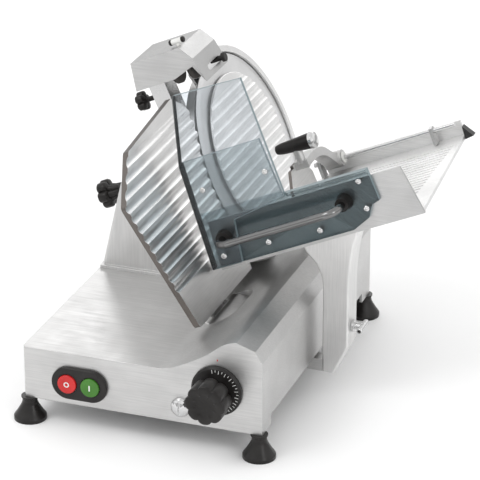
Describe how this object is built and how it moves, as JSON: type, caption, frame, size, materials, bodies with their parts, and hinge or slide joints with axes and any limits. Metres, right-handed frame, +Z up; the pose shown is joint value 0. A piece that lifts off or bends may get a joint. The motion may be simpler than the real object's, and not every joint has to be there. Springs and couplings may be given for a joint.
{
  "type": "deli meat slicer",
  "caption": "Gravity-feed meat slicer: tilted round blade, sliding ribbed tray with pusher and hand guard, dial-set gauge plate, top sharpener, cast housing on rubber feet.",
  "frame": {"origin": "on the table, under the middle of the whole outline", "axes": "+Z up, +X to the operator's right, +Y away from the operator along the carriage travel"},
  "size_m": [0.5871, 0.677, 0.4658],
  "materials": {
    "cast_aluminium": "satin, lightly brushed",
    "ribbed_aluminium": "satin",
    "tray_aluminium": "satin",
    "blade_steel": "ground",
    "steel": "machined",
    "chrome": "polished",
    "black_plastic": "semi-gloss",
    "dial_black": "matt with white graduations",
    "grey_nylon": "matt",
    "red_plastic": "gloss",
    "green_plastic": "gloss",
    "rubber": "semi-gloss moulded",
    "smoked_acrylic": "smoked, clear",
    "motor_paint": "satin",
    "belt_rubber": "matt",
    "stone": "abrasive",
    "cover_sheet": "mill finish"
  },
  "bodies": {
    "base": {"base_housing": "cast_aluminium", "bottom_cover": "cover_sheet", "feet": "rubber", "base_screws": "steel", "blade_column": "cast_aluminium", "switch_bezel": "black_plastic", "switch_block": "grey_nylon", "rear_cable_gland": "black_plastic", "motor_body": "motor_paint", "blade_bearings": "steel", "blade_ring_guard": "cast_aluminium", "ring_screws": "steel", "slide_rod": "chrome", "slide_rod_caps": "chrome", "guide_rail": "steel", "slot_cover": "cast_aluminium", "gauge_guide_rod": "steel", "sharpener_post": "steel", "drive_belt": "belt_rubber", "blade_cover": "ribbed_aluminium", "cover_tie_rod": "steel"},
    "blade_rotor": {"blade": "blade_steel", "blade_shaft": "steel", "blade_screws": "steel", "blade_pulley": "steel"},
    "motor_rotor": {"motor_pulley": "steel"},
    "tie_knob": {"tie_rod_knob": "black_plastic"},
    "stop": {"stop_button": "red_plastic"},
    "start": {"start_button": "green_plastic"},
    "dial": {"dial_shaft": "steel", "dial_disc": "dial_black", "dial_knob": "black_plastic"},
    "gauge": {"gauge_plate": "ribbed_aluminium", "gauge_arm": "cast_aluminium", "gauge_slide_block": "steel"},
    "carriage": {"slide_block": "steel", "carriage_foot": "cast_aluminium", "carriage_arm": "cast_aluminium", "tray_floor": "tray_aluminium", "tray_wall": "tray_aluminium", "front_hand_guard": "smoked_acrylic", "blade_hand_guard": "smoked_acrylic", "guard_screws": "steel", "handle_mounts": "black_plastic", "carriage_handle": "chrome", "pusher_rod": "chrome", "rod_brackets": "black_plastic"},
    "arm_lock": {"arm_lock_knob": "chrome"},
    "pusher_slider": {"pusher_sleeve": "grey_nylon"},
    "pusher": {"pusher_arm": "cast_aluminium", "pusher_plate": "ribbed_aluminium", "pusher_handle": "black_plastic", "pusher_handle_cap": "chrome"},
    "sharpener": {"sharpener_hood": "cast_aluminium", "sharpener_carrier": "steel"},
    "sharpener_clamp": {"sharpener_knob": "black_plastic"},
    "grinder": {"grinding_stone": "stone"},
    "deburrer": {"deburring_stone": "stone"},
    "deburring_push": {"deburring_button": "black_plastic"},
    "lever": {"sharpener_lever": "grey_nylon"}
  },
  "joints": [
    {"name": "carriage_slide", "type": "slide", "parent": "base", "child": "carriage", "axis": [0, 1, 0], "range_m": [-0.165, 0.1]},
    {"name": "blade_spin", "type": "hinge", "parent": "base", "child": "blade_rotor", "pos_m": [-0.0485, 0.1755, 0.25], "axis": [0.9135, 0, 0.4067], "continuous": true},
    {"name": "motor_spin", "type": "hinge", "parent": "base", "child": "motor_rotor", "pos_m": [-0.10531, 0.0805, 0.18092], "axis": [0.9135, 0, 0.4067], "continuous": true},
    {"name": "tie_knob_turn", "type": "hinge", "parent": "base", "child": "tie_knob", "pos_m": [-0.27323, 0.1755, 0.14994], "axis": [0.9135, 0, 0.4067], "range_deg": [0, 720]},
    {"name": "stop_press", "type": "slide", "parent": "base", "child": "stop", "axis": [0, 1, 0], "range_m": [0, 0.0025], "stiffness_N_per_m": 400},
    {"name": "start_press", "type": "slide", "parent": "base", "child": "start", "axis": [0, 1, 0], "range_m": [0, 0.0025], "stiffness_N_per_m": 400},
    {"name": "gauge_slide", "type": "slide", "parent": "base", "child": "gauge", "axis": [0.9135, 0, 0.4067], "range_m": [-0.015, 0]},
    {"name": "dial_turn", "type": "hinge", "parent": "base", "child": "dial", "pos_m": [0.07, -0.2865, 0.094], "axis": [0, -1, 0], "range_deg": [0, 300]},
    {"name": "arm_lock_turn", "type": "hinge", "parent": "carriage", "child": "arm_lock", "pos_m": [0.187, -0.0575, 0.106], "axis": [1, 0, 0], "range_deg": [0, 90]},
    {"name": "pusher_slide", "type": "slide", "parent": "carriage", "child": "pusher_slider", "axis": [0.9135, 0, 0.4067], "range_m": [-0.004, 0.135]},
    {"name": "pusher_swing", "type": "hinge", "parent": "pusher_slider", "child": "pusher", "pos_m": [0.06605, 0.2315, 0.22875], "axis": [-0.9135, 0, -0.4067], "range_deg": [0, 105]},
    {"name": "sharpener_lower", "type": "slide", "parent": "base", "child": "sharpener", "axis": [-0.4067, 0, 0.9135], "range_m": [-0.016, 0]},
    {"name": "sharpener_clamp_turn", "type": "hinge", "parent": "base", "child": "sharpener_clamp", "pos_m": [-0.17853, 0.0815, 0.34536], "axis": [0.9135, 0, 0.4067], "range_deg": [0, 360]},
    {"name": "grinder_spin", "type": "hinge", "parent": "sharpener", "child": "grinder", "pos_m": [-0.12972, 0.0895, 0.39555], "axis": [0.9135, 0, 0.4067], "continuous": true},
    {"name": "deburrer_spin", "type": "hinge", "parent": "sharpener", "child": "deburrer", "pos_m": [-0.10414, 0.0895, 0.40694], "axis": [0.9135, 0, 0.4067], "continuous": true},
    {"name": "deburring_press", "type": "slide", "parent": "sharpener", "child": "deburring_push", "axis": [-0.9135, 0, -0.4067], "range_m": [0, 0.004], "stiffness_N_per_m": 300},
    {"name": "lever_turn", "type": "hinge", "parent": "sharpener", "child": "lever", "pos_m": [-0.12335, 0.0805, 0.43779], "axis": [-0.4067, 0, 0.9135], "range_deg": [0, 90]}
  ],
  "couplings": [
    {"joint": "motor_spin", "follows": "blade_spin", "ratio": 2.7143},
    {"joint": "dial_turn", "follows": "gauge_slide", "rad_per_m": -349.07}
  ]
}
